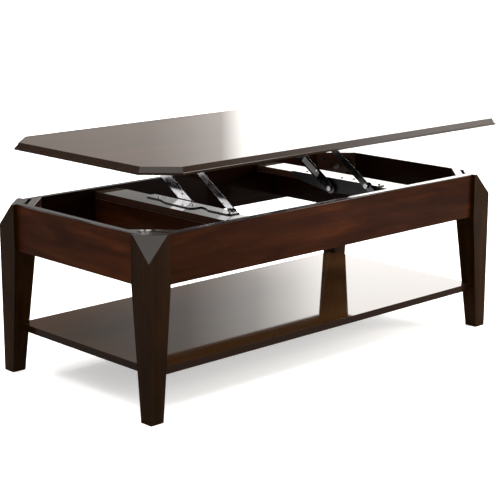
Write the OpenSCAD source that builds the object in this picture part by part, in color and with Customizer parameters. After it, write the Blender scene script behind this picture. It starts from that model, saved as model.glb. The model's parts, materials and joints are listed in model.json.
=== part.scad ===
// Lift top coffee table, raised. +Z up, +X along the long side, -Y is the front.
// The origin is on the floor, under the middle of the whole table with its top raised.

/* [Base] */
// Length over the legs
base_len = 1190; // [1000:10:1300]
// Width over the legs
base_wid = 572; // [520:2:700]
// Height of the legs
leg_top = 428; // [400:1:480]
// Leg width at the rails
leg_w = 62; // [56:1:70]
// Leg width at the floor
leg_foot = 36; // [28:1:50]
// Rail height
rail_h = 116; // [110:1:140]
// Rail thickness
rail_t = 18; // [16:1:20]
// How far the rails stand back from the legs' outer faces
rail_set = 10; // [6:1:12]

/* [Leg corner] */
// Side of the triangular facet along the leg's top edges
facet_side = 54; // [40:1:58]
// Height of the facet
facet_drop = 57; // [40:1:65]
// Distance of the inner 45-degree cut from the outer corner
leg_cut = 68; // [64:1:70]

/* [Corner braces] */
// Distance of the brace's outer face from the leg's outer corner
brace_out = 76; // [74:1:80]
// Thickness of the brace board
brace_t = 20; // [16:1:22]
// Height of the brace board
brace_h = 80; // [70:1:90]

/* [Cross beams] */
// Distance of the beam's inner edge from the middle of the table
beam_x = 246; // [200:2:300]
// Width of the beam's flat board
beam_w = 75; // [60:1:90]
// Thickness of both beam boards
beam_t = 18; // [16:1:20]
// How far the beam lies below the rails' top
beam_drop = 8; // [6:1:10]
// Height of the beam's vertical panel
beam_h = 72; // [60:1:80]
// How far the panel stands proud of the flat board's edge
panel_proud = 1.5; // [0.5:0.5:2]

/* [Shelf] */
// Height of the shelf's top face
shelf_z = 120; // [100:1:150]
// Thickness of the shelf
shelf_t = 18; // [16:1:20]
// Set-back of the shelf's ends from the legs' outer faces
shelf_set_x = 33; // [20:1:36]
// Set-back of the shelf's long edges from the legs' outer faces
shelf_set_y = 23; // [18:1:36]

/* [Top] */
// Length of the top
top_len = 1220; // [1190:10:1340]
// Width of the top
top_wid = 600; // [572:2:730]
// Thickness of the top
top_t = 17; // [16:1:22]
// Side of the clipped corners
top_clip = 70; // [50:1:90]
// Height of the edge's lower lip
lip_h = 5; // [3:0.5:6]
// Width of the ledge above the lip
ledge_w = 3.5; // [1:0.5:4]
// How far the bevel runs in over the top face
bevel_in = 10; // [6:1:14]

/* [Lift] */
// How far the top rises
lift_h = 138; // [120:1:140]
// How far the top comes forward as it rises
lift_fwd = 42; // [36:1:44]
// Distance between the front and rear links' pivots, along the width
link_gap = 130; // [124:1:140]
// Height of the front links' pivots above the rear ones
link_step = 24; // [23.5:0.5:25]
// Place of the rear links' lower pivot along the width, from the base's middle
pivot_y = -36; // [-44:1:-30]
// Depth of the front links' upper pivots under the top
pivot_drop = 10; // [10:0.5:11]
// Width of the rear links
rear_w = 28; // [26:1:28]
// Width of the front links
front_w = 18; // [16:1:18]

/* [Hidden] */
$fn = 48;

far = 40;                                   // overrun of cutting shapes

// base
base_y = (top_wid / 2 + lift_fwd - base_wid / 2) / 2;   // centres the raised table on the origin
rail_z = leg_top - rail_h;
rail_in = rail_set + rail_t;                // rails' inner faces, from the legs' outer faces
in_x = base_len / 2 - rail_in;              // rails' inner faces, from the middle
in_y = base_wid / 2 - rail_in;
edge_r = 3;                                 // rounded top outer edge of the rails
brace_in = brace_out + brace_t;
brace_z = leg_top - brace_h;

// fastenings of the wooden frame
dowel_r = 4;
dowel_len = 40;
dowel_zs = [rail_z + 26, leg_top - 28];
bolt_r = 4;
bolt_z = leg_top - brace_h / 2;
bolt_from = 38;                             // hanger bolt, along the corner's diagonal
bolt_to = brace_in + 16;
washer_r = 9;
washer_t = 1.6;
nut_r = 7.5;
nut_t = 6.5;
screw_r = 2;
screw_head_r = 4;
screw_head_h = 2.2;
brace_screw_zs = [brace_z + 20, leg_top - 20];
brace_screw_at = brace_out * sqrt(2) - rail_in + 14; // along the rail, from the outer corner
brace_screw_sink = rail_in + 8;             // head's seat, from the leg's outer face
brace_screw_len = 20;

// beams
board_z = leg_top - beam_drop;              // top of the flat board
panel_top = board_z - beam_t;
panel_z = panel_top - beam_h;
panel_x = beam_x + beam_w + panel_proud - beam_t; // inner face of the vertical panel
beam_dowel_x = panel_x + beam_t / 2;
beam_dowel_zs = [panel_z + 20, panel_top - 18];
beam_dowel_len = 28;
beam_dowel_in = 10;                         // length inside the rail or the flat board
beam_dowel_ys = [-180, 0, 180];

// shelf
leg_slope = (leg_w - leg_foot) / rail_z;
notch = leg_foot + leg_slope * shelf_z + 0.3;
shelf_dowel_y = (notch + shelf_set_y) / 2;
shelf_dowel_len = 44;

// lift: two equal parallel links per side
link_len = (pow(lift_h, 2) + pow(lift_fwd, 2)) / (2 * lift_fwd);
link_a = asin(lift_h / link_len);           // links' angle above the horizontal, raised
shut_z = leg_top + 2;                       // underside of the closed top
front_z = shut_z - pivot_drop;              // lower pivots' heights
rear_z = front_z - link_step;
rear_drop = pivot_drop + link_step;         // depth of the rear links' upper pivots under the top
top_z = shut_z + lift_h;                    // underside of the raised top
top_y = base_y - lift_fwd;                  // middle of the raised top
rear_y = pivot_y;
front_y = pivot_y - link_gap;
up_rear_y = pivot_y + link_len;             // upper pivots, from the top's middle
up_front_y = up_rear_y - link_gap;

// stations across one mechanism, from the middle of the table outwards
plate_t = 3;
link_t = 3;
link_x = beam_x - 11.5;                     // inner faces of both links
play = 0.3;                                 // side play between moving pieces
base_plate_x = beam_x - plate_t;
top_plate_x = link_x - plate_t - 3;
front_tail = 24;                            // front link's tail beyond its lower pivot
hook_at = [66, 5];                          // small hole in the rear link
hook_r = 2.5;
pin_r = 4;
pin_run = 4.05;                             // running hole round a pin
head_r = 6.5;
base_head_t = 5;
top_head_t = 3;
end_head_r = 6;                             // riveted ends of the upper pins
end_head_t = 2.4;
spacer_r = 7;
stop_r = 3;
stop_along = 18;                            // place of the stop under the raised tail
stop_off = front_w / 2 + stop_r + play;
stop_y = front_y - stop_along * cos(link_a) + stop_off * sin(link_a);
stop_z = front_z - stop_along * sin(link_a) - stop_off * cos(link_a);

// brackets
flange_w = 30;                              // width of the base bracket's flange on the board
tab_w = 47;                                 // its width at the middle tab
ear_r = 9;                                  // ear round the front pivot
base_plate_y0 = front_y - 31;
base_plate_y1 = rear_y + 151;
base_screw_x = beam_x + 17.5;
base_screw_ys = [rear_y + 113, rear_y - 17, rear_y - 149];
hang_r = 11;                                // rounding of the top bracket's lower corner
top_flange_w = 30;
top_plate_y0 = up_front_y - 20;
top_plate_len = up_rear_y + 18 - top_plate_y0;
top_screw_ys = [up_front_y - 6, (up_front_y + up_rear_y) / 2, up_rear_y + 4];

// colours
rail_col = [0.27, 0.13, 0.08];
leg_col = [0.17, 0.11, 0.08];
top_col = [0.20, 0.14, 0.11];
beam_col = [0.15, 0.09, 0.07];
steel_col = [0.62, 0.62, 0.66];
black_col = [0.08, 0.08, 0.09];
zinc_col = [0.55, 0.55, 0.56];
dowel_col = [0.78, 0.64, 0.45];

// ---- places ----

// the corner of one leg: x and y run inwards from the leg's outer faces
module corner(sx, sy)
    translate([sx * base_len / 2, base_y + sy * base_wid / 2, 0])
        mirror([sx > 0 ? 1 : 0, 0, 0])
            mirror([0, sy > 0 ? 1 : 0, 0])
                children();

module corners()
    for (sx = [-1, 1], sy = [-1, 1])
        corner(sx, sy) children();

// one end of the base, drawn for the right end
module base_side(sx)
    translate([0, base_y, 0]) mirror([sx < 0 ? 1 : 0, 0, 0]) children();

// one end of the top, drawn for the right end, with z = 0 on the underside
module top_side(sx)
    translate([0, top_y, top_z]) mirror([sx < 0 ? 1 : 0, 0, 0]) children();

// an outline in a plane across the diagonal of a corner, pulled to both sides of it
module diagonal(points, half)
    rotate([0, 0, 45]) translate([0, half, 0]) rotate([90, 0, 0]) linear_extrude(2 * half) polygon(points);

// a rod from a point on, along the corner's diagonal
module diagonal_rod(from, to, r, z)
    rotate([0, 0, 45]) translate([from, 0, z]) rotate([0, 90, 0]) cylinder(r = r, h = to - from);

module rod_x(x0, x1, y, z, r)
    translate([x0, y, z]) rotate([0, 90, 0]) cylinder(r = r, h = x1 - x0);

module rod_y(x, y0, y1, z, r)
    translate([x, y1, z]) rotate([90, 0, 0]) cylinder(r = r, h = y1 - y0);

// ---- wooden frame ----

module leg_profile()
    polygon([[0, 0], [leg_foot, 0], [leg_w, rail_z], [leg_w, leg_top], [0, leg_top]]);

module facet_cut() {
    run = facet_side / sqrt(2);
    rise = facet_drop / run;
    diagonal([[-far, leg_top - facet_drop - far * rise], [run + far, leg_top + far * rise],
              [-far, leg_top + far * rise]], facet_side + far);
}

module inner_cut() {
    end = leg_cut + far;
    diagonal([[leg_cut, rail_z], [end, rail_z], [end, leg_top + far], [leg_cut, leg_top + far]], leg_w);
}

module leg(sx, sy)
    color(leg_col) difference() {
        corner(sx, sy) difference() {
            intersection() {
                translate([0, leg_w, 0]) rotate([90, 0, 0]) linear_extrude(leg_w) leg_profile();
                rotate([90, 0, 90]) linear_extrude(leg_w) leg_profile();
            }
            facet_cut();
            inner_cut();
            diagonal_rod(bolt_from, leg_w * 2, bolt_r, bolt_z);
        }
        dowels_of_rails();
        dowels_of_shelf();
    }

// rail section: x points outwards from the rail's inner face
module rail_section() {
    square([rail_t, rail_h - edge_r]);
    square([rail_t - edge_r, rail_h]);
    translate([rail_t - edge_r, rail_h - edge_r]) circle(edge_r);
}

module rail_long(sy) {
    len = base_len - 2 * leg_w;
    color(rail_col) difference() {
        translate([0, base_y, rail_z]) mirror([0, sy < 0 ? 1 : 0, 0])
            translate([-len / 2, in_y, 0]) rotate([90, 0, 90]) linear_extrude(len) rail_section();
        dowels_of_rails();
        dowels_of_beams();
        screws_of_braces();
    }
}

module rail_short(sx) {
    len = base_wid - 2 * leg_w;
    color(rail_col) difference() {
        translate([0, base_y, rail_z]) mirror([sx < 0 ? 1 : 0, 0, 0])
            translate([in_x, len / 2, 0]) rotate([90, 0, 0]) linear_extrude(len) rail_section();
        dowels_of_rails();
        screws_of_braces();
    }
}

module brace(sx, sy)
    color(beam_col) difference() {
        corner(sx, sy) difference() {
            intersection() {
                diagonal([[brace_out, brace_z], [brace_in, brace_z],
                          [brace_in, leg_top], [brace_out, leg_top]], brace_in);
                translate([rail_in, rail_in, brace_z]) cube([brace_in * 2, brace_in * 2, brace_h]);
            }
            diagonal_rod(bolt_from, brace_in + far, bolt_r, bolt_z);
            brace_screw_places() rod_x(brace_screw_sink, rail_in + far, 0, 0, screw_head_r);
        }
        screws_of_braces();
    }

module beam_board(sx)
    color(beam_col) difference() {
        base_side(sx) translate([beam_x, -in_y, panel_top]) cube([beam_w, 2 * in_y, beam_t]);
        dowels_of_beams();
        screws_of_base();
    }

module beam_panel(sx)
    color(beam_col) difference() {
        base_side(sx) translate([panel_x, -in_y, panel_z]) cube([beam_t, 2 * in_y, beam_h]);
        dowels_of_beams();
    }

module shelf() {
    len = base_len - 2 * shelf_set_x;
    wid = base_wid - 2 * shelf_set_y;
    color(top_col) difference() {
        translate([-len / 2, base_y - wid / 2, shelf_z - shelf_t]) cube([len, wid, shelf_t]);
        corners() translate([0, 0, shelf_z - shelf_t - 1]) cube([notch, notch, shelf_t + 2]);
        dowels_of_shelf();
    }
}

// ---- dowels, bolts and screws ----

// two dowels at each end of each rail
module dowels_of_rails()
    corners() for (z = dowel_zs) {
        rod_x(leg_w - dowel_len / 2, leg_w + dowel_len / 2, rail_set + rail_t / 2, z, dowel_r);
        rod_y(rail_set + rail_t / 2, leg_w - dowel_len / 2, leg_w + dowel_len / 2, z, dowel_r);
    }

// beam panels to the long rails, and flat boards to their panels
module dowels_of_beams()
    for (sx = [-1, 1]) base_side(sx) {
        for (z = beam_dowel_zs, s = [-1, 1])
            translate([beam_dowel_x, s * (in_y + beam_dowel_in), z]) rotate([s * 90, 0, 0])
                cylinder(r = dowel_r, h = beam_dowel_len);
        for (y = beam_dowel_ys)
            translate([beam_dowel_x, y, panel_top + beam_dowel_in - beam_dowel_len])
                cylinder(r = dowel_r, h = beam_dowel_len);
    }

module dowels_of_shelf()
    corners() rod_x(notch - shelf_dowel_len / 2, notch + shelf_dowel_len / 2, shelf_dowel_y,
                    shelf_z - shelf_t / 2, dowel_r);

module rail_dowels() color(dowel_col) dowels_of_rails();

module beam_dowels() color(dowel_col) dowels_of_beams();

module shelf_dowels() color(dowel_col) dowels_of_shelf();

module hanger_bolts()
    color(zinc_col) corners() diagonal_rod(bolt_from, bolt_to, bolt_r, bolt_z);

module hanger_washers()
    color(zinc_col) corners() difference() {
        diagonal_rod(brace_in, brace_in + washer_t, washer_r, bolt_z);
        diagonal_rod(brace_in - 1, brace_in + far, bolt_r, bolt_z);
    }

module hanger_nuts()
    color(zinc_col) corners() difference() {
        rotate([0, 0, 45]) translate([brace_in + washer_t, 0, bolt_z]) rotate([0, 90, 0])
            cylinder(r = nut_r, h = nut_t, $fn = 6);
        diagonal_rod(brace_in, brace_in + far, bolt_r, bolt_z);
    }

// a round-headed wood screw, pointing down from the seat of its head at z = 0
module screw(len) {
    translate([0, 0, -len]) cylinder(r = screw_r, h = len);
    difference() {
        cylinder(r = screw_head_r, h = screw_head_h);
        for (a = [0, 90]) rotate([0, 0, a]) translate([-2.2, -0.5, screw_head_h - 1]) cube([4.4, 1, 2]);
    }
}

// four screw axes at one corner, two into each rail, each pointing at the rail along -x
module brace_screw_places()
    for (z = brace_screw_zs) {
        translate([0, brace_screw_at, z]) children();
        translate([brace_screw_at, 0, z]) mirror([1, -1, 0]) children();
    }

module screws_of_braces()
    corners() brace_screw_places()
        translate([brace_screw_sink, 0, 0]) rotate([0, 90, 0]) screw(brace_screw_len);

module brace_screws() color(zinc_col) screws_of_braces();

// ---- lift mechanism on the base ----

// an outline of y and z, pulled along x from x0
module side_plate(x0, t)
    translate([x0, 0, 0]) rotate([90, 0, 90]) linear_extrude(t) children();

// upright plate of the base bracket, with an ear that carries the front pivot
module base_plate_outline() {
    top = board_z + plate_t;
    polygon([[base_plate_y0, top], [base_plate_y0, stop_z - 9], [front_y, stop_z - 11],
             [rear_y + 16, rear_z - 13], [base_plate_y1, top - 16], [base_plate_y1, top]]);
    translate([front_y, front_z]) circle(ear_r);
}

// flange of the base bracket, lying on the flat board: x runs outwards from the board's edge
module flange_outline()
    polygon([[-plate_t, base_plate_y0], [flange_w - 8, base_plate_y0], [flange_w, base_plate_y0 + 8],
             [flange_w, rear_y - 86], [flange_w - 10, rear_y - 67], [flange_w - 14, rear_y - 46],
             [tab_w - 9, rear_y - 44], [tab_w, rear_y - 36], [tab_w - 3, rear_y + 56],
             [flange_w, rear_y + 92], [flange_w, base_plate_y1 - 8], [flange_w - 8, base_plate_y1],
             [-plate_t, base_plate_y1]]);

module base_bracket(sx)
    color(black_col) difference() {
        base_side(sx) difference() {
            union() {
                side_plate(base_plate_x, plate_t) base_plate_outline();
                translate([beam_x, 0, board_z]) linear_extrude(plate_t) flange_outline();
            }
            rod_x(base_plate_x - 1, beam_x + 1, front_y, front_z, pin_r);
            rod_x(base_plate_x - 1, beam_x + 1, rear_y, rear_z, pin_r);
            rod_x(base_plate_x - 1, beam_x + 1, stop_y, stop_z, stop_r);
        }
        screws_of_base();
    }

// places of the two lower pivots of one side
module base_pivots(sx)
    base_side(sx) {
        translate([0, front_y, front_z]) children();
        translate([0, rear_y, rear_z]) children();
    }

// the lower pivots of one side: shafts riveted flush in the plate, with a head inside each link
module base_pins(sx)
    color(zinc_col) base_pivots(sx) {
        rod_x(link_x - play, beam_x, 0, 0, pin_r);
        rod_x(link_x - play - base_head_t, link_x - play, 0, 0, head_r);
    }

module base_spacers()
    color(zinc_col) for (sx = [-1, 1]) base_pivots(sx) difference() {
        rod_x(link_x + link_t + play, base_plate_x, 0, 0, spacer_r);
        rod_x(link_x, beam_x, 0, 0, pin_r);
    }

module stop_pins()
    color(zinc_col) for (sx = [-1, 1]) base_side(sx)
        rod_x(link_x - play, beam_x, stop_y, stop_z, stop_r);

module screws_of_base()
    for (sx = [-1, 1]) base_side(sx) for (y = base_screw_ys)
        translate([base_screw_x, y, board_z + plate_t]) screw(15);

module base_screws() color(zinc_col) screws_of_base();

// ---- links ----

// one link's place: x runs along the raised link from its lower pivot, y towards its upper side
module link_place(sx, y, z)
    base_side(sx) translate([link_x, y, z]) rotate([90, 0, 90]) rotate([0, 0, link_a])
        linear_extrude(link_t) children();

module rear_link(sx)
    color(steel_col) link_place(sx, rear_y, rear_z) difference() {
        union() {
            for (s = [0, link_len]) translate([s, 0]) circle(rear_w / 2);
            translate([0, -rear_w / 2]) square([link_len, rear_w]);
        }
        for (s = [0, link_len]) translate([s, 0]) circle(pin_run);
        translate(hook_at) circle(hook_r);
    }

module front_link(sx)
    color(steel_col) link_place(sx, front_y, front_z) difference() {
        union() {
            translate([link_len, 0]) circle(front_w / 2);
            translate([-front_tail, -front_w / 2]) square([link_len + front_tail, front_w]);
        }
        for (s = [0, link_len]) translate([s, 0]) circle(pin_run);
    }

// ---- top ----

// outline of the top, drawn in from its outer edge by d
function outline(d) = let (x = top_len / 2 - d, y = top_wid / 2 - d, c = top_clip - d * (2 - sqrt(2)))
    [[x, -y + c], [x, y - c], [x - c, y], [c - x, y], [-x, y - c], [-x, c - y], [c - x, -y], [x - c, -y]];

// the board from below: square lip, narrow ledge, then the bevel up to the top face
module top_board() {
    rings = [[0, 0], [0, lip_h], [ledge_w, lip_h], [bevel_in, top_t]];
    points = [for (r = rings, p = outline(r[0])) [p.x, p.y, r[1]]];
    sides = [for (k = [0, 8, 16], i = [0:7]) let (j = (i + 1) % 8) [k + i, k + 8 + i, k + 8 + j, k + j]];
    polyhedron(points, concat([[for (i = [0:7]) i]], sides, [[for (i = [0:7]) 31 - i]]));
}

module top()
    color(top_col) difference() {
        translate([0, top_y, top_z]) top_board();
        screws_of_top();
    }

// hanging plate of the top bracket
module top_plate_outline() {
    low = -rear_drop - hang_r;
    polygon([[top_plate_y0, 0], [top_plate_y0, -pivot_drop - 8], [up_rear_y, low],
             [up_rear_y + hang_r, -rear_drop], [top_plate_y0 + top_plate_len, -plate_t],
             [top_plate_y0 + top_plate_len, 0]]);
    translate([up_rear_y, -rear_drop]) circle(hang_r);
}

module top_bracket(sx)
    color(black_col) difference() {
        top_side(sx) difference() {
            union() {
                side_plate(top_plate_x, plate_t) top_plate_outline();
                translate([top_plate_x - top_flange_w + plate_t, top_plate_y0, -plate_t])
                    cube([top_flange_w, top_plate_len, plate_t]);
            }
            rod_x(top_plate_x - 1, top_plate_x + plate_t + 1, up_front_y, -pivot_drop, pin_r);
            rod_x(top_plate_x - 1, top_plate_x + plate_t + 1, up_rear_y, -rear_drop, pin_r);
        }
        screws_of_top();
    }

// places of the two upper pivots of one side
module top_pivots(sx)
    top_side(sx) {
        translate([0, up_front_y, -pivot_drop]) children();
        translate([0, up_rear_y, -rear_drop]) children();
    }

// the upper pivots of one side: shafts with a head inside the bracket and a riveted end outside the link
module top_pins(sx)
    color(zinc_col) top_pivots(sx) {
        end = link_x + link_t + play;
        rod_x(top_plate_x - top_head_t, top_plate_x, 0, 0, head_r);
        rod_x(top_plate_x, end, 0, 0, pin_r);
        rod_x(end, end + end_head_t, 0, 0, end_head_r);
    }

module top_spacers()
    color(zinc_col) for (sx = [-1, 1]) top_pivots(sx) difference() {
        rod_x(top_plate_x + plate_t, link_x - play, 0, 0, spacer_r);
        rod_x(top_plate_x, link_x, 0, 0, pin_r);
    }

module screws_of_top()
    for (sx = [-1, 1]) top_side(sx) for (y = top_screw_ys)
        translate([top_plate_x - top_flange_w / 2, y, -plate_t]) mirror([0, 0, 1]) screw(15);

module top_screws() color(zinc_col) screws_of_top();

// small pads under the top, over the middle of each corner brace
module bumpers() {
    mid = (brace_out + brace_t / 2) / sqrt(2);
    color(black_col) for (sx = [-1, 1], sy = [-1, 1])
        translate([sx * (base_len / 2 - mid), top_y + sy * (base_wid / 2 - mid), top_z - 1.7])
            cylinder(r = 6, h = 1.7);
}

leg(-1, -1);  // leg_front_left
leg(1, -1);  // leg_front_right
leg(-1, 1);  // leg_back_left
leg(1, 1);  // leg_back_right
rail_long(-1);  // rail_front
rail_long(1);  // rail_back
rail_short(-1);  // rail_left
rail_short(1);  // rail_right
brace(-1, -1);  // brace_front_left
brace(1, -1);  // brace_front_right
brace(-1, 1);  // brace_back_left
brace(1, 1);  // brace_back_right
beam_board(-1);  // beam_board_left
beam_board(1);  // beam_board_right
beam_panel(-1);  // beam_panel_left
beam_panel(1);  // beam_panel_right
shelf();
rail_dowels();
beam_dowels();
shelf_dowels();
hanger_bolts();
hanger_washers();
hanger_nuts();
brace_screws();
base_bracket(-1);  // base_bracket_left
base_bracket(1);  // base_bracket_right
base_pins(-1);  // base_pins_left
base_pins(1);  // base_pins_right
base_spacers();
stop_pins();
base_screws();
rear_link(-1);  // link_rear_left
rear_link(1);  // link_rear_right
front_link(-1);  // link_front_left
front_link(1);  // link_front_right
top();
top_bracket(-1);  // top_bracket_left
top_bracket(1);  // top_bracket_right
top_pins(-1);  // top_pins_left
top_pins(1);  // top_pins_right
top_spacers();
top_screws();
bumpers();
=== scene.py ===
"""Looks of the lift top coffee table: lacquered wood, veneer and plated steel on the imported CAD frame."""
import json
import math
from fnmatch import fnmatch

import bpy
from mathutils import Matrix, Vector


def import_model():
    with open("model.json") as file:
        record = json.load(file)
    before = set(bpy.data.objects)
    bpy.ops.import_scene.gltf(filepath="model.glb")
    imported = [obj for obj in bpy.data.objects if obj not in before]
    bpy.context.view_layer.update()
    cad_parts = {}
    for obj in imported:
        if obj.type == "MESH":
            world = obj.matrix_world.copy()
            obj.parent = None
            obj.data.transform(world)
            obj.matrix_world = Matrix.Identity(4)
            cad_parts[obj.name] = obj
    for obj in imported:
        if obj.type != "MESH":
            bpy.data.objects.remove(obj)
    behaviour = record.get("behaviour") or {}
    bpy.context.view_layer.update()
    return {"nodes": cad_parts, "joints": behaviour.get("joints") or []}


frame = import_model()
NODES = frame["nodes"]
PIVOTS = {joint["name"]: Vector(joint["pos_m"]) for joint in frame["joints"]}

# colour sockets of a Mix node
MIX_A, MIX_B, MIX_RESULT = 6, 7, 2


# ---------------------------------------------------------------- node helpers

class Graph:
    """A material with a Principled shader, and short calls for the nodes that feed it."""

    def __init__(self, name):
        self.mat = bpy.data.materials.new(name)
        self.mat.use_nodes = True
        self.tree = self.mat.node_tree
        self.shader = self.tree.nodes["Principled BSDF"]
        self.coord = self.node("ShaderNodeTexCoord").outputs["Object"]

    def node(self, kind, **props):
        made = self.tree.nodes.new(kind)
        for key, value in props.items():
            setattr(made, key, value)
        return made

    def feed(self, socket, value):
        if isinstance(value, bpy.types.NodeSocket):
            self.tree.links.new(value, socket)
        else:
            socket.default_value = value

    def set(self, **values):
        for key, value in values.items():
            self.feed(self.shader.inputs[key.replace("_", " ")], value)

    def noise(self, vector, scale, detail, rough=0.6, twist=0.0):
        made = self.node("ShaderNodeTexNoise")
        self.feed(made.inputs["Vector"], vector)
        made.inputs["Scale"].default_value = scale
        made.inputs["Detail"].default_value = detail
        made.inputs["Roughness"].default_value = rough
        made.inputs["Distortion"].default_value = twist
        return made.outputs["Fac"]

    def grain(self, axis, lengthwise, crosswise, detail, rough, twist):
        """Noise drawn out along an axis, with its repeats per metre along the wood's grain and across it."""
        scale = [crosswise] * 3
        scale["xyz".index(axis)] = lengthwise
        mapping = self.node("ShaderNodeMapping")
        self.feed(mapping.inputs["Vector"], self.coord)
        mapping.inputs["Scale"].default_value = scale
        return self.noise(mapping.outputs["Vector"], 1.0, detail, rough, twist)

    def ramp(self, factor, *stops):
        """Colours at places along a pattern; each stop is a place and a colour."""
        made = self.node("ShaderNodeValToRGB")
        band = made.color_ramp
        while len(band.elements) < len(stops):
            band.elements.new(0.5)
        for element, (place, colour) in zip(band.elements, stops):
            element.position = place
            element.color = (*colour, 1.0)
        self.feed(made.inputs["Fac"], factor)
        return made.outputs["Color"]

    def span(self, value, from_low, from_high, low, high):
        made = self.node("ShaderNodeMapRange")
        for key, number in (("From Min", from_low), ("From Max", from_high), ("To Min", low), ("To Max", high)):
            made.inputs[key].default_value = number
        self.feed(made.inputs["Value"], value)
        return made.outputs["Result"]

    def math(self, operation, *values):
        made = self.node("ShaderNodeMath", operation=operation)
        for socket, value in zip(made.inputs, values):
            self.feed(socket, value)
        return made.outputs[0]

    def mix(self, factor, a, b, blend="MIX"):
        made = self.node("ShaderNodeMix", data_type="RGBA", blend_type=blend)
        self.feed(made.inputs["Factor"], factor)
        for index, colour in ((MIX_A, a), (MIX_B, b)):
            self.feed(made.inputs[index], colour if isinstance(colour, bpy.types.NodeSocket) else (*colour, 1.0))
        return made.outputs[MIX_RESULT]

    def tint(self, colour, by, amount=1.0):
        """A colour multiplied by another one or by a pattern."""
        return self.mix(amount, colour, by, "MULTIPLY")

    def bump(self, height, strength, distance):
        made = self.node("ShaderNodeBump")
        made.inputs["Strength"].default_value = strength
        made.inputs["Distance"].default_value = distance
        self.feed(made.inputs["Height"], height)
        return made.outputs["Normal"]

    def split(self, vector):
        made = self.node("ShaderNodeSeparateXYZ")
        self.feed(made.inputs["Vector"], vector)
        return made.outputs

    def facing_up(self, low, high):
        """0 on walls, 1 on faces that look up; low and high are the normal's heights between them."""
        normal = self.node("ShaderNodeNewGeometry").outputs["True Normal"]
        return self.span(self.split(normal)["Z"], low, high, 0.0, 1.0)

    def facing_out(self):
        """1 on faces that look away from the middle of the table, 0 on faces that look into it."""
        geometry = self.node("ShaderNodeNewGeometry")
        level = self.node("ShaderNodeVectorMath", operation="MULTIPLY")
        self.feed(level.inputs[0], geometry.outputs["Position"])
        level.inputs[1].default_value = (1.0, 1.0, 0.0)
        outwards = self.node("ShaderNodeVectorMath", operation="DOT_PRODUCT")
        self.feed(outwards.inputs[0], geometry.outputs["True Normal"])
        self.feed(outwards.inputs[1], level.outputs[0])
        return self.span(outwards.outputs["Value"], -0.05, 0.05, 0.0, 1.0)


# ---------------------------------------------------------------- materials

VENEER_DARK, VENEER_MIDDLE, VENEER_PALE = (0.0140, 0.0036, 0.0010), (0.0225, 0.0060, 0.0016), (0.0360, 0.0100, 0.0026)
# Painted shade: the veneer is darkened on its faces inside the table.
VENEER_INSIDE_SHADE = (0.30, 0.28, 0.30)              # how dark the veneer is on the faces inside the table
LEG_DARK, LEG_PALE = (0.0058, 0.0024, 0.0007), (0.0115, 0.0049, 0.0015)
# Painted sheen: the leg's upward faces, the facet and the top, get a paler, greyer colour.
LEG_TOP_SHEEN = (0.014, 0.009, 0.007)
BEECH_DARK, BEECH_PALE = (0.44, 0.27, 0.13), (0.63, 0.43, 0.24)
WALL_SPECULAR = 0.005                           # walls are nearly matt, and only upper faces mirror the sky


def veneer(name, axis, painted_shade_factor=1.0, ledge=(0.010, 0.005, 0.004)):
    """Figured red-brown veneer with a glossy upper edge, the ledge. Faces inside the table are darkened as painted
    shade, a tone factor below 1 is painted shade over the whole veneer, and a pale ledge colour is a painted
    highlight.
    """
    g = Graph(name)
    streaks = g.grain(axis, 2.5, 75.0, detail=7.0, rough=0.62, twist=0.4)
    figure = g.grain(axis, 4.0, 26.0, detail=3.0, rough=0.55, twist=1.0)
    clouds = g.grain(axis, 2.4, 5.0, detail=2.0, rough=0.5, twist=0.6)
    wood = g.ramp(figure, (0.30, VENEER_DARK), (0.52, VENEER_MIDDLE), (0.74, VENEER_PALE))
    wood = g.tint(wood, g.ramp(streaks, (0.35, (0.62, 0.58, 0.56)), (0.62, (1.16, 1.12, 1.08))), 0.6)
    wood = g.tint(wood, g.ramp(clouds, (0.35, (0.68, 0.68, 0.70)), (0.66, (1.15, 1.12, 1.08))), 0.7)
    # Painted shade: a tone factor below 1 darkens the whole veneer.
    wood = g.tint(wood, (painted_shade_factor, painted_shade_factor, painted_shade_factor))
    # Painted shade: faces that look into the table get the darkened veneer.
    shaded_wall = g.mix(g.facing_out(), g.tint(wood, VENEER_INSIDE_SHADE), wood)
    up = g.facing_up(0.25, 0.50)
    g.set(Base_Color=g.mix(up, shaded_wall, ledge),
          Roughness=g.span(figure, 0.3, 0.7, 0.36, 0.46),
          Specular_IOR_Level=WALL_SPECULAR,
          Coat_Weight=g.span(up, 0.0, 1.0, 0.012, 1.0),
          Coat_Roughness=0.06,
          Normal=g.bump(streaks, 0.05, 0.0006))
    return g.mat


def leg_lacquer(name):
    """Near-black brown with upright grain; the facet and the top of the leg are glossy, and their paler, greyer
    colour is a painted sheen.
    """
    g = Graph(name)
    streaks = g.grain("z", 3.0, 70.0, detail=6.0, rough=0.6, twist=0.5)
    clouds = g.grain("z", 5.0, 14.0, detail=2.0, rough=0.5, twist=0.7)
    wood = g.ramp(clouds, (0.32, LEG_DARK), (0.70, LEG_PALE))
    wood = g.tint(wood, g.ramp(streaks, (0.34, (0.62, 0.58, 0.56)), (0.64, (1.15, 1.1, 1.06))), 0.7)
    up = g.facing_up(0.30, 0.50)
    g.set(Base_Color=g.mix(up, wood, LEG_TOP_SHEEN),
          Roughness=g.span(streaks, 0.3, 0.7, 0.34, 0.44),
          Specular_IOR_Level=WALL_SPECULAR,
          Coat_Weight=g.span(up, 0.0, 1.0, 0.02, 1.0),
          Coat_Roughness=0.08,
          Normal=g.bump(streaks, 0.05, 0.0005))
    return g.mat


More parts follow.
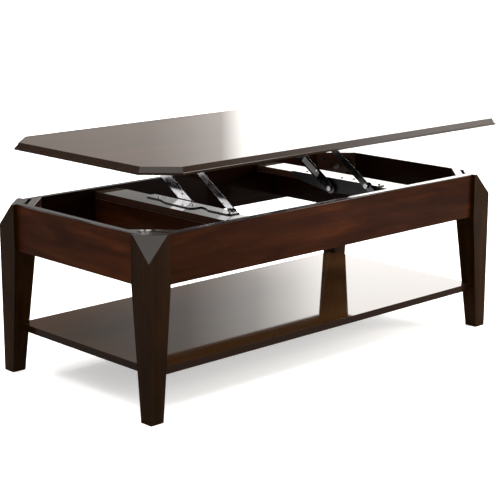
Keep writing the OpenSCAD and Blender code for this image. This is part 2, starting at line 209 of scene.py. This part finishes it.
def gloss_lacquer(name, axis, pale, dark, bevel, edge):
    """Clear gloss over fine grain, with colours of its own for the sloping bevel and the upright edge."""
    g = Graph(name)
    streaks = g.grain(axis, 1.6, 45.0, detail=6.0, rough=0.6, twist=0.5)
    clouds = g.grain(axis, 2.0, 7.0, detail=2.0, rough=0.5, twist=0.8)
    wood = g.ramp(clouds, (0.35, dark), (0.68, pale))
    wood = g.tint(wood, g.ramp(streaks, (0.35, (0.70, 0.66, 0.64)), (0.64, (1.14, 1.1, 1.06))), 0.6)
    rim = g.mix(g.facing_up(0.25, 0.40), edge, bevel)
    g.set(Base_Color=g.mix(g.facing_up(0.60, 0.90), rim, wood),
          Roughness=g.span(streaks, 0.3, 0.7, 0.34, 0.46),
          Specular_IOR_Level=0.0,
          Coat_Weight=g.span(g.facing_up(0.05, 0.30), 0.0, 1.0, 0.08, 1.0),
          Coat_Roughness=0.04,
          Normal=g.bump(streaks, 0.03, 0.0004))
    return g.mat


def beech(name):
    """Raw pale wood of the dowels."""
    g = Graph(name)
    streaks = g.grain("x", 30.0, 160.0, detail=5.0, rough=0.6, twist=0.3)
    g.set(Base_Color=g.ramp(streaks, (0.3, BEECH_DARK), (0.7, BEECH_PALE)),
          Roughness=0.6,
          Normal=g.bump(streaks, 0.2, 0.0003))
    return g.mat


def rear_link_patch(g):
    """1 inside a plain rectangle on the inner face of the right rear link, 0 elsewhere."""
    from_pivot, half_length, half_width = 0.087, 0.034, 0.0085
    rise = PIVOTS["top_level"] - PIVOTS["lift"]
    place = g.node("ShaderNodeMapping", vector_type="TEXTURE")
    g.feed(place.inputs["Vector"], g.coord)
    place.inputs["Location"].default_value = PIVOTS["lift"]
    place.inputs["Rotation"].default_value = (math.atan2(rise.z, rise.y), 0.0, 0.0)
    along_link = g.split(place.outputs["Vector"])
    length = g.math("COMPARE", along_link["Y"], from_pivot, half_length)
    width = g.math("COMPARE", along_link["Z"], 0.0, half_width)
    inner = g.math("SUBTRACT", 1.0, g.facing_out())
    return g.math("MULTIPLY", g.math("MULTIPLY", length, width), inner)


def plated(name, grey, roughness, inside=None, patch=None):
    """Plated steel with faint spots. Inside is its tint on faces that look into the table, a painted dark reflection,
    and patch is the colour of a pale, non-metallic rectangle."""
    g = Graph(name)
    spots = g.noise(g.coord, 55.0, 3.0)
    metal = g.ramp(spots, (0.3, [c * 0.85 for c in grey]), (0.7, [c * 1.08 for c in grey]))
    metallic = 1.0
    if inside:
        # Painted reflection: faces that look into the table are tinted dark.
        metal = g.mix(g.facing_out(), g.tint(metal, inside), metal)
    if patch:
        # A pale, non-metallic rectangle on the inner face of the right rear link.
        pale_rectangle = rear_link_patch(g)
        metal = g.mix(pale_rectangle, metal, patch)
        metallic = g.math("SUBTRACT", 1.0, pale_rectangle)
    g.set(Base_Color=metal,
          Metallic=metallic,
          Roughness=g.span(spots, 0.3, 0.7, roughness - 0.03, roughness + 0.04))
    return g.mat


def paint(name, colour, roughness, grain, glossy=False):
    """Dark paint or rubber with a fine grain; glossy paint has a clear coat on its upper faces."""
    g = Graph(name)
    spots = g.noise(g.coord, grain, 3.0)
    g.set(Base_Color=g.ramp(spots, (0.35, colour), (0.7, [c * 1.5 for c in colour])),
          Roughness=g.span(spots, 0.3, 0.7, roughness - 0.06, roughness + 0.08),
          Specular_IOR_Level=0.1,
          Coat_Weight=g.facing_up(0.5, 0.9) if glossy else 0.0,
          Coat_Roughness=0.06)
    return g.mat


# Painted reflection: the links' faces that look into the table are tinted dark, for the dark inside of the table they
# mirror.
LINK_GREY, LINK_INSIDE_DARK_REFLECTION = (0.40, 0.40, 0.42), (0.10, 0.10, 0.10)

# Painted shade: the long rails are a darker copy of the same veneer.
LONG_RAIL = veneer("rail_veneer_long", "x", painted_shade_factor=0.72)
SHORT_RAIL = veneer("rail_veneer_short", "y")
# Painted highlight: the panel's pale ledge colour stands for the thin light line along its upper edge.
PANEL = veneer("panel_veneer", "y", ledge=(0.20, 0.16, 0.13))
LEG = leg_lacquer("leg_lacquer")
TOP = gloss_lacquer("top_lacquer", "x", pale=(0.050, 0.0225, 0.0080), dark=(0.036, 0.0160, 0.0056),
                    bevel=(0.0130, 0.0056, 0.0022), edge=(0.0075, 0.0034, 0.0016))
INNER = gloss_lacquer("inner_lacquer", "y", pale=(0.0620, 0.0430, 0.0280), dark=(0.0480, 0.0330, 0.0210),
                      bevel=(0.0280, 0.0150, 0.0100), edge=(0.0260, 0.0120, 0.0080))
DOWEL = beech("dowel_wood")
LINK = plated("link_steel", LINK_GREY, 0.12, inside=LINK_INSIDE_DARK_REFLECTION)
PATCHED_LINK = plated("link_steel_patch", LINK_GREY, 0.12, inside=LINK_INSIDE_DARK_REFLECTION, patch=(0.17, 0.165, 0.16))
ZINC = plated("zinc", (0.34, 0.34, 0.34), 0.24)
DARK_ZINC = plated("dark_zinc", (0.05, 0.045, 0.04), 0.35)
BLACK_STEEL = paint("black_steel", (0.006, 0.006, 0.007), 0.30, grain=300.0, glossy=True)
RUBBER = paint("bumper_rubber", (0.012, 0.012, 0.013), 0.75, grain=1400.0)


# ---------------------------------------------------------------- finishes

# radii of rounded edges, in metres
SHARP, STEEL_EDGE, WOOD_EDGE, TOP_EDGE, PANEL_EDGE = 0.0, 0.0004, 0.0010, 0.0012, 0.0014
EDGE_STEPS = 2
EDGE_ANGLE = math.radians(28)                   # flatter bends than this stay as they are
WELD_WITHIN = 0.00002

# first match of a node's name: its material and the radius of its edges
FINISHES = (
    ("*_dowels", DOWEL, SHARP),
    ("hanger_*", DARK_ZINC, SHARP),
    ("brace_screws", DARK_ZINC, SHARP),
    ("bumpers", RUBBER, SHARP),
    ("top", TOP, TOP_EDGE),
    ("shelf", TOP, WOOD_EDGE),
    ("leg_*", LEG, WOOD_EDGE),
    ("rail_front", LONG_RAIL, WOOD_EDGE),
    ("rail_back", LONG_RAIL, WOOD_EDGE),
    ("rail_*", SHORT_RAIL, WOOD_EDGE),
    ("brace_*", INNER, WOOD_EDGE),
    ("beam_board_*", INNER, WOOD_EDGE),
    ("beam_panel_*", PANEL, PANEL_EDGE),
    ("link_rear_right", PATCHED_LINK, STEEL_EDGE),
    ("link_*", LINK, STEEL_EDGE),
    ("*_bracket_*", BLACK_STEEL, STEEL_EDGE),
    ("*", ZINC, SHARP),
)


def round_edges(obj, radius):
    """Welds the mesh first, because its faces come with edges of their own."""
    weld = obj.modifiers.new("weld", "WELD")
    weld.merge_threshold = WELD_WITHIN
    bevel = obj.modifiers.new("bevel", "BEVEL")
    bevel.width = radius
    bevel.segments = EDGE_STEPS
    bevel.limit_method = "ANGLE"
    bevel.angle_limit = EDGE_ANGLE
    bevel.harden_normals = True
    bevel.use_clamp_overlap = True


for name, obj in NODES.items():
    material, radius = next(finish[1:] for finish in FINISHES if fnmatch(name, finish[0]))
    obj.data.materials.clear()
    obj.data.materials.append(material)
    if radius:
        round_edges(obj, radius)


# ---------------------------------------------------------------- studio

FLOOR_HALF = 30.0
FLOOR_GREY, FLOOR_GLOW = 0.80, 0.4              # the floor is a pale light table
SEEN_SKY = 0.96                                 # what the camera sees behind the table
SKY_WARMTH = (1.0, 0.98, 0.95)

CAMERA_AZIMUTH, CAMERA_ELEVATION = math.radians(-43.33), math.radians(13.25)
CAMERA_AIM, CAMERA_DISTANCE = Vector((-0.0117, 0.0407, 0.2586)), 3.806
CAMERA_LENS, CAMERA_SENSOR = 105.7, 36.0

SIDE_LIGHT_AT, SIDE_LIGHT_TOWARDS = Vector((1.6, -1.6, 0.7)), Vector((-1.15, 1.3, -0.4))
SIDE_LIGHT_SIZE, SIDE_LIGHT_WATTS, SIDE_LIGHT_COLOUR = 1.0, 70.0, (1.0, 0.95, 0.88)

# light levels round the horizon, by compass angle in degrees from +X
HORIZON = ((-180, 0.3), (-60, 0.6), (-25, 1.6), (-10, 3.4), (46.8, 3.4), (47.7, 0.95), (50, 0.52), (54, 0.42),
           (62, 0.25), (100, 0.1), (112, 5.2), (158, 5.2), (168, 0.3))

# rings of light above it: the heights in degrees between which a ring takes over, and its levels
RINGS = (
    (12.0, 14.5, ((-180, 0.3), (-60, 0.4), (-25, 1.6), (-10, 3.2), (43.5, 3.4), (46, 1.3), (49, 0.42), (54, 0.18),
                  (62, 0.1), (180, 0.1))),
    (20.0, 25.0, ((-180, 1.5), (-100, 0.6), (-50, 0.2), (-41, 0.25), (-37, 1.0), (-32, 2.6), (30, 3.0), (60, 1.0),
                  (100, 0.2), (150, 0.2), (180, 1.2))),
    (41.0, 44.0, ((-180, 1.5), (-60, 2.0), (-25, 12.0), (100, 12.0), (120, 2.0), (180, 1.5))),
    (49.0, 52.0, ((-180, 1.5), (-140, 1.5), (-134, 18.0), (-118, 18.0), (-112, 1.8), (180, 1.5))),
    (60.0, 66.0, ((-180, 1.8), (180, 1.8))),
)


def add_object(name, data):
    made = bpy.data.objects.new(name, data)
    bpy.context.scene.collection.objects.link(made)
    return made


def aim(obj, place, towards):
    """Puts a camera or a light at a place, looking in a direction."""
    obj.location = place
    obj.rotation_mode = "QUATERNION"
    obj.rotation_quaternion = towards.to_track_quat("-Z", "Y")


def floor():
    mesh = bpy.data.meshes.new("studio_floor")
    corners = [(x * FLOOR_HALF, y * FLOOR_HALF, 0) for x, y in ((-1, -1), (1, -1), (1, 1), (-1, 1))]
    mesh.from_pydata(corners, [], [(0, 1, 2, 3)])
    g = Graph("studio_floor")
    g.set(Base_Color=(FLOOR_GREY, FLOOR_GREY, FLOOR_GREY, 1.0), Roughness=0.9, Specular_IOR_Level=0.0,
          Emission_Color=(1.0, 1.0, 1.0, 1.0), Emission_Strength=FLOOR_GLOW)
    mesh.materials.append(g.mat)
    add_object("studio_floor", mesh)


def world():
    """Pale studio: rings of soft light round the table, each with its own levels by compass angle."""
    made = bpy.data.worlds.new("studio")
    made.use_nodes = True
    bpy.context.scene.world = made
    nodes, links = made.node_tree.nodes, made.node_tree.links
    direction = nodes.new("ShaderNodeSeparateXYZ")
    links.new(nodes.new("ShaderNodeTexCoord").outputs["Generated"], direction.inputs["Vector"])
    angle = nodes.new("ShaderNodeMath")
    angle.operation = "ARCTAN2"
    links.new(direction.outputs["Y"], angle.inputs[0])
    links.new(direction.outputs["X"], angle.inputs[1])
    turn = nodes.new("ShaderNodeMapRange")
    turn.inputs["From Min"].default_value = -math.pi
    turn.inputs["From Max"].default_value = math.pi
    links.new(angle.outputs[0], turn.inputs["Value"])

    def ring(levels):
        band = nodes.new("ShaderNodeValToRGB")
        stops = band.color_ramp.elements
        while len(stops) < len(levels):
            stops.new(0.5)
        for stop, (degrees, level) in zip(stops, levels):
            stop.position = (degrees + 180) / 360
            stop.color = (*(level * warmth for warmth in SKY_WARMTH), 1.0)
        links.new(turn.outputs["Result"], band.inputs["Fac"])
        return band.outputs["Color"]

    def mix(factor, below, above):
        blend = nodes.new("ShaderNodeMix")
        blend.data_type = "RGBA"
        links.new(factor, blend.inputs["Factor"])
        links.new(below, blend.inputs[MIX_A])
        if isinstance(above, bpy.types.NodeSocket):
            links.new(above, blend.inputs[MIX_B])
        else:
            blend.inputs[MIX_B].default_value = above
        return blend.outputs[MIX_RESULT]

    light = ring(HORIZON)
    for low, high, levels in RINGS:
        height = nodes.new("ShaderNodeMapRange")
        height.interpolation_type = "SMOOTHSTEP"
        height.inputs["From Min"].default_value = math.sin(math.radians(low))
        height.inputs["From Max"].default_value = math.sin(math.radians(high))
        links.new(direction.outputs["Z"], height.inputs["Value"])
        light = mix(height.outputs["Result"], light, ring(levels))
    camera_ray = nodes.new("ShaderNodeLightPath").outputs["Is Camera Ray"]
    links.new(mix(camera_ray, light, (SEEN_SKY, SEEN_SKY, SEEN_SKY, 1.0)), nodes["Background"].inputs["Color"])


def side_light():
    """A soft box low on the right, in front, which brightens the right end of the front rail."""
    data = bpy.data.lights.new("side_light", "AREA")
    data.size = SIDE_LIGHT_SIZE
    data.energy = SIDE_LIGHT_WATTS
    data.color = SIDE_LIGHT_COLOUR
    made = add_object("side_light", data)
    aim(made, SIDE_LIGHT_AT, SIDE_LIGHT_TOWARDS)
    made.visible_camera = False


def camera():
    """Looks at the table from its front left, a little from above."""
    level = math.cos(CAMERA_ELEVATION)
    back = Vector((math.sin(CAMERA_AZIMUTH) * level, -math.cos(CAMERA_AZIMUTH) * level, math.sin(CAMERA_ELEVATION)))
    data = bpy.data.cameras.new("camera")
    data.sensor_width = CAMERA_SENSOR
    data.lens = CAMERA_LENS
    made = add_object("camera", data)
    aim(made, CAMERA_AIM + back * CAMERA_DISTANCE, -back)
    bpy.context.scene.camera = made


floor()
world()
side_light()
camera()
bpy.context.scene.view_settings.view_transform = "Standard"
